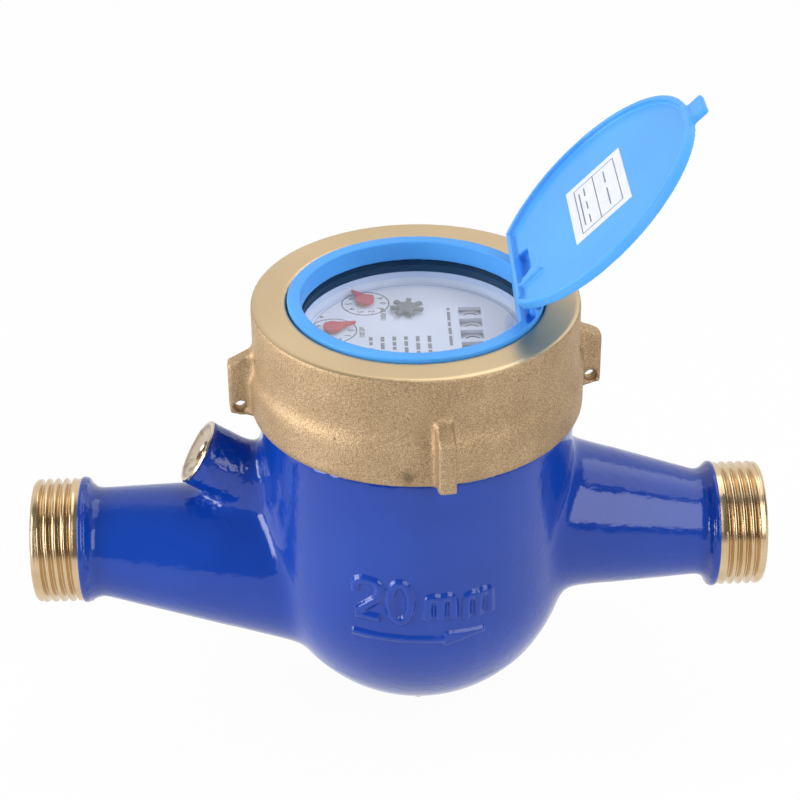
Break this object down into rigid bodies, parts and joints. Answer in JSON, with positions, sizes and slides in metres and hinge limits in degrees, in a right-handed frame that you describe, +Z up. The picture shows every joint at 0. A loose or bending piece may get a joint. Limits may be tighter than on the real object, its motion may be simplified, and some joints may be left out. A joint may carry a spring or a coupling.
{
  "type": "water meter",
  "caption": "Threaded brass pipe meter with a blue enamelled body, a brass cap ring with seal lugs, a glazed register dial and a hinged plastic lid.",
  "frame": {"origin": "centre of the inlet end face, on the pipe axis", "axes": "+X along the flow from inlet to outlet, +Z up along the meter axis, +Y to the back"},
  "size_m": [0.195, 0.0972, 0.1818],
  "materials": {
    "blue_enamel": "gloss",
    "cast_brass": "rough cast",
    "blue_plastic": "gloss",
    "steel": "bright",
    "paper": "matte",
    "glass": "clear",
    "rubber": "matte",
    "white_plastic": "satin",
    "pale_plastic": "satin",
    "turned_brass": "turned",
    "dark_plastic": "satin",
    "magnet": "matte",
    "grey_plastic": "satin",
    "red_plastic": "satin"
  },
  "bodies": {
    "housing": {"body": "blue_enamel", "cap_ring": "cast_brass", "lid_frame": "blue_plastic", "hinge_pin": "steel", "glass": "glass", "glass_gasket": "rubber", "register_bezel": "white_plastic", "dial_plate": "white_plastic", "register_case": "white_plastic", "gear_plate_lower": "pale_plastic", "gear_plate_upper": "pale_plastic", "plate_pillars": "turned_brass", "pressure_plate": "dark_plastic", "plate_seal": "rubber", "chamber_upper": "pale_plastic", "chamber_lower": "pale_plastic", "strainer": "pale_plastic", "pivot_pin": "steel", "drum_shaft": "steel"},
    "lid": {"lid": "blue_plastic", "lid_label": "paper"},
    "impeller": {"impeller": "pale_plastic", "drive_magnet": "magnet"},
    "centre_arbor": {"centre_arbor": "turned_brass", "follower_magnet": "magnet"},
    "star_wheel": {"star_arbor": "turned_brass", "star": "grey_plastic"},
    "hand_1": {"pointer_arbor_1": "turned_brass", "pointer_1": "red_plastic"},
    "hand_2": {"pointer_arbor_2": "turned_brass", "pointer_2": "red_plastic"},
    "hand_3": {"pointer_arbor_3": "turned_brass", "pointer_3": "red_plastic"},
    "hand_4": {"pointer_arbor_4": "turned_brass", "pointer_4": "red_plastic"},
    "idler_1": {"idler_1": "turned_brass"},
    "idler_2": {"idler_2": "turned_brass"},
    "idler_3": {"idler_3": "turned_brass"},
    "drum_1": {"drum_1": "white_plastic"},
    "drum_2": {"drum_2": "white_plastic"},
    "drum_3": {"drum_3": "white_plastic"},
    "drum_4": {"drum_4": "white_plastic"},
    "drum_5": {"drum_5": "white_plastic"},
    "regulator": {"regulator_screw": "turned_brass", "regulator_seal": "rubber"}
  },
  "joints": [
    {"name": "lid_hinge", "type": "hinge", "parent": "housing", "child": "lid", "pos_m": [0.1294, 0, 0.077], "axis": [0, 1, 0], "range_deg": [-135, 0]},
    {"name": "impeller_spin", "type": "hinge", "parent": "housing", "child": "impeller", "pos_m": [0.1025, 0, 0], "axis": [0, 0, 1], "continuous": true},
    {"name": "centre_spin", "type": "hinge", "parent": "housing", "child": "centre_arbor", "pos_m": [0.1025, 0, 0.04], "axis": [0, 0, 1], "continuous": true},
    {"name": "star_spin", "type": "hinge", "parent": "housing", "child": "star_wheel", "pos_m": [0.10063, 0.01287, 0.05], "axis": [0, 0, 1], "continuous": true},
    {"name": "hand_1_spin", "type": "hinge", "parent": "housing", "child": "hand_1", "pos_m": [0.08983, 0.0175, 0.05], "axis": [0, 0, 1], "continuous": true},
    {"name": "hand_2_spin", "type": "hinge", "parent": "housing", "child": "hand_2", "pos_m": [0.08117, 0.00342, 0.05], "axis": [0, 0, 1], "continuous": true},
    {"name": "hand_3_spin", "type": "hinge", "parent": "housing", "child": "hand_3", "pos_m": [0.085, -0.01267, 0.05], "axis": [0, 0, 1], "continuous": true},
    {"name": "hand_4_spin", "type": "hinge", "parent": "housing", "child": "hand_4", "pos_m": [0.09908, -0.02133, 0.05], "axis": [0, 0, 1], "continuous": true},
    {"name": "idler_1_spin", "type": "hinge", "parent": "housing", "child": "idler_1", "pos_m": [0.08904, 0.00778, 0.05], "axis": [0, 0, 1], "continuous": true},
    {"name": "idler_2_spin", "type": "hinge", "parent": "housing", "child": "idler_2", "pos_m": [0.08748, -0.00401, 0.05], "axis": [0, 0, 1], "continuous": true},
    {"name": "idler_3_spin", "type": "hinge", "parent": "housing", "child": "idler_3", "pos_m": [0.09472, -0.01346, 0.05], "axis": [0, 0, 1], "continuous": true},
    {"name": "drum_1_turn", "type": "hinge", "parent": "housing", "child": "drum_1", "pos_m": [0.117, 0, 0.0499], "axis": [0, 1, 0], "continuous": true},
    {"name": "drum_2_turn", "type": "hinge", "parent": "housing", "child": "drum_2", "pos_m": [0.117, 0, 0.0499], "axis": [0, 1, 0], "continuous": true},
    {"name": "drum_3_turn", "type": "hinge", "parent": "housing", "child": "drum_3", "pos_m": [0.117, 0, 0.0499], "axis": [0, 1, 0], "continuous": true},
    {"name": "drum_4_turn", "type": "hinge", "parent": "housing", "child": "drum_4", "pos_m": [0.117, 0, 0.0499], "axis": [0, 1, 0], "continuous": true},
    {"name": "drum_5_turn", "type": "hinge", "parent": "housing", "child": "drum_5", "pos_m": [0.117, 0, 0.0499], "axis": [0, 1, 0], "continuous": true},
    {"name": "regulator_turn", "type": "hinge", "parent": "housing", "child": "regulator", "pos_m": [0.0445, 0, 0.0273], "axis": [-0.8499, 0, 0.527], "range_deg": [-360, 360]}
  ],
  "couplings": [
    {"joint": "centre_spin", "follows": "impeller_spin", "ratio": 1},
    {"joint": "star_spin", "follows": "impeller_spin", "ratio": -0.2381},
    {"joint": "hand_1_spin", "follows": "impeller_spin", "ratio": 0.06435},
    {"joint": "hand_2_spin", "follows": "impeller_spin", "ratio": 0.006435},
    {"joint": "hand_3_spin", "follows": "impeller_spin", "ratio": 0.0006435},
    {"joint": "hand_4_spin", "follows": "impeller_spin", "ratio": 0.00006435},
    {"joint": "idler_1_spin", "follows": "impeller_spin", "ratio": -0.019305},
    {"joint": "idler_2_spin", "follows": "impeller_spin", "ratio": -0.0019305},
    {"joint": "idler_3_spin", "follows": "impeller_spin", "ratio": -0.00019305},
    {"joint": "drum_1_turn", "follows": "impeller_spin", "ratio": -0.000000000644},
    {"joint": "drum_2_turn", "follows": "impeller_spin", "ratio": -0.000000006435},
    {"joint": "drum_3_turn", "follows": "impeller_spin", "ratio": -0.00000006435},
    {"joint": "drum_4_turn", "follows": "impeller_spin", "ratio": -0.0000006435},
    {"joint": "drum_5_turn", "follows": "impeller_spin", "ratio": -0.000006435}
  ]
}
